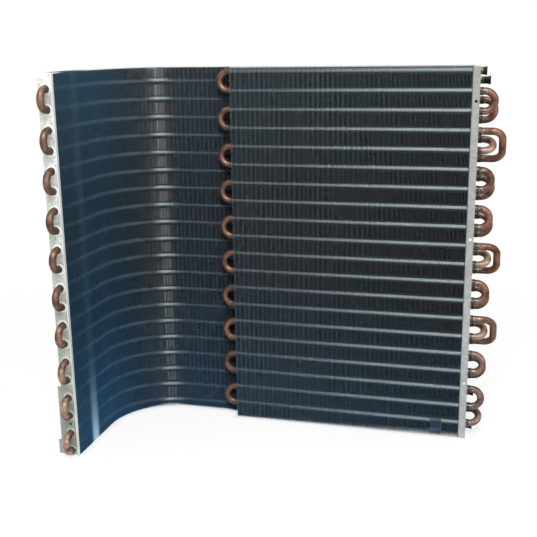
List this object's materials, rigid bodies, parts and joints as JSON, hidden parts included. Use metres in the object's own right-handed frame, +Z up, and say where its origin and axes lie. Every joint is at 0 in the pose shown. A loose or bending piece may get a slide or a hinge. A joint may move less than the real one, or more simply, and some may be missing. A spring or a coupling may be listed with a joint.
{
  "type": "finned condenser coil",
  "caption": "L-shaped finned-tube condenser coil for an outdoor unit: blue aluminium fins on copper hairpins, a second flat row on the long leg, galvanised end plates.",
  "frame": {"origin": "middle of the foot: the centre of the whole coil's box, on the surface it stands on", "axes": "+X along the long leg towards the end with the open tubes, +Y away from the inside of the L, +Z up"},
  "size_m": [0.569, 0.2356, 0.508],
  "materials": {
    "fins": "blue coated foil, satin",
    "galvanised_sheet": "galvanised sheet steel, dull grey",
    "copper_tube": "drawn copper, tarnished",
    "return_bend_copper": "brazed copper, heat-browned"
  },
  "bodies": {
    "root": {"inner_fin_pack": "fins", "outer_fin_pack": "fins", "outer_fin_bend": "fins", "outer_fin_leg": "fins", "right_end_plate": "galvanised_sheet", "left_end_plate": "galvanised_sheet", "inner_hairpin_01": "copper_tube", "inner_hairpin_02": "copper_tube", "inner_hairpin_03": "copper_tube", "inner_hairpin_04": "copper_tube", "inner_hairpin_05": "copper_tube", "inner_hairpin_06": "copper_tube", "inner_hairpin_07": "copper_tube", "inner_hairpin_08": "copper_tube", "inner_hairpin_09": "copper_tube", "inner_hairpin_10": "copper_tube", "outer_hairpin_01": "copper_tube", "outer_hairpin_02": "copper_tube", "outer_hairpin_03": "copper_tube", "outer_hairpin_04": "copper_tube", "outer_hairpin_05": "copper_tube", "outer_hairpin_06": "copper_tube", "outer_hairpin_07": "copper_tube", "outer_hairpin_08": "copper_tube", "outer_hairpin_09": "copper_tube", "outer_hairpin_10": "copper_tube", "inner_return_bend_01": "return_bend_copper", "inner_return_bend_02": "return_bend_copper", "inner_return_bend_03": "return_bend_copper", "inner_return_bend_04": "return_bend_copper", "inner_return_bend_05": "return_bend_copper", "inner_return_bend_06": "return_bend_copper", "outer_return_bend_01": "return_bend_copper", "outer_return_bend_02": "return_bend_copper", "outer_return_bend_03": "return_bend_copper", "outer_return_bend_04": "return_bend_copper", "outer_return_bend_05": "return_bend_copper", "crossover_over_01": "return_bend_copper", "crossover_over_02": "return_bend_copper", "crossover_over_03": "return_bend_copper", "crossover_under_01": "return_bend_copper", "crossover_under_02": "return_bend_copper", "crossover_under_03": "return_bend_copper", "bottom_link": "return_bend_copper"}
  },
  "joints": []
}
